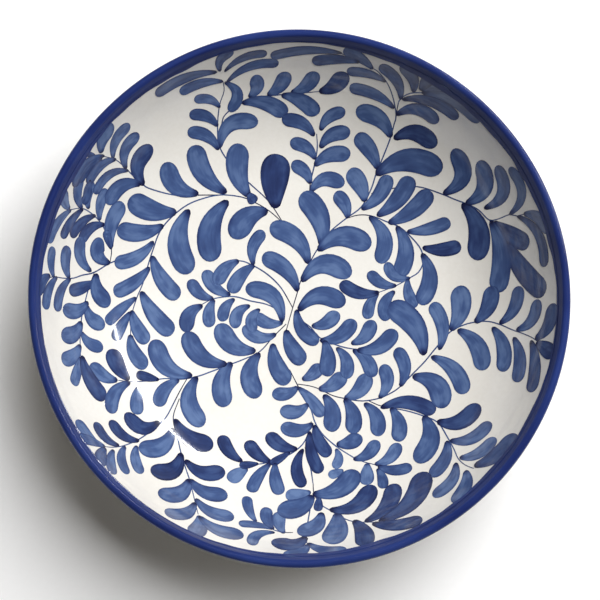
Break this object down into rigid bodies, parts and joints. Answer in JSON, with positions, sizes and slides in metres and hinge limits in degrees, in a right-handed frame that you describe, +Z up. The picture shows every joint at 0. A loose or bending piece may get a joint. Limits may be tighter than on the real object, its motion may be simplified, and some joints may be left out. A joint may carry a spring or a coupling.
{
  "type": "porcelain serving bowl",
  "caption": "Round, wide serving bowl with a shallow dished floor, a steep wall, a rounded lip with a painted band, and a turned foot ring.",
  "frame": {"origin": "centre of the circle that the foot ring stands on", "axes": "+Z up the bowl's axis of revolution, from the foot to the open top; +Y is the top of the picture and +X its right"},
  "size_m": [0.305, 0.305, 0.0831],
  "materials": {
    "clay": "fired biscuit, matt",
    "foot": "fired biscuit, bare and slightly worn",
    "glaze_inner": "glossy warm white glaze",
    "glaze_outer": "glossy warm white glaze",
    "glaze_well": "glossy warm white glaze",
    "cobalt": "glossy cobalt under glaze, brushed by hand"
  },
  "bodies": {
    "root": {"clay_body": "clay", "foot_ring": "foot", "inner_glaze": "glaze_inner", "outer_glaze": "glaze_outer", "foot_well_glaze": "glaze_well", "rim_band": "cobalt"}
  },
  "joints": []
}
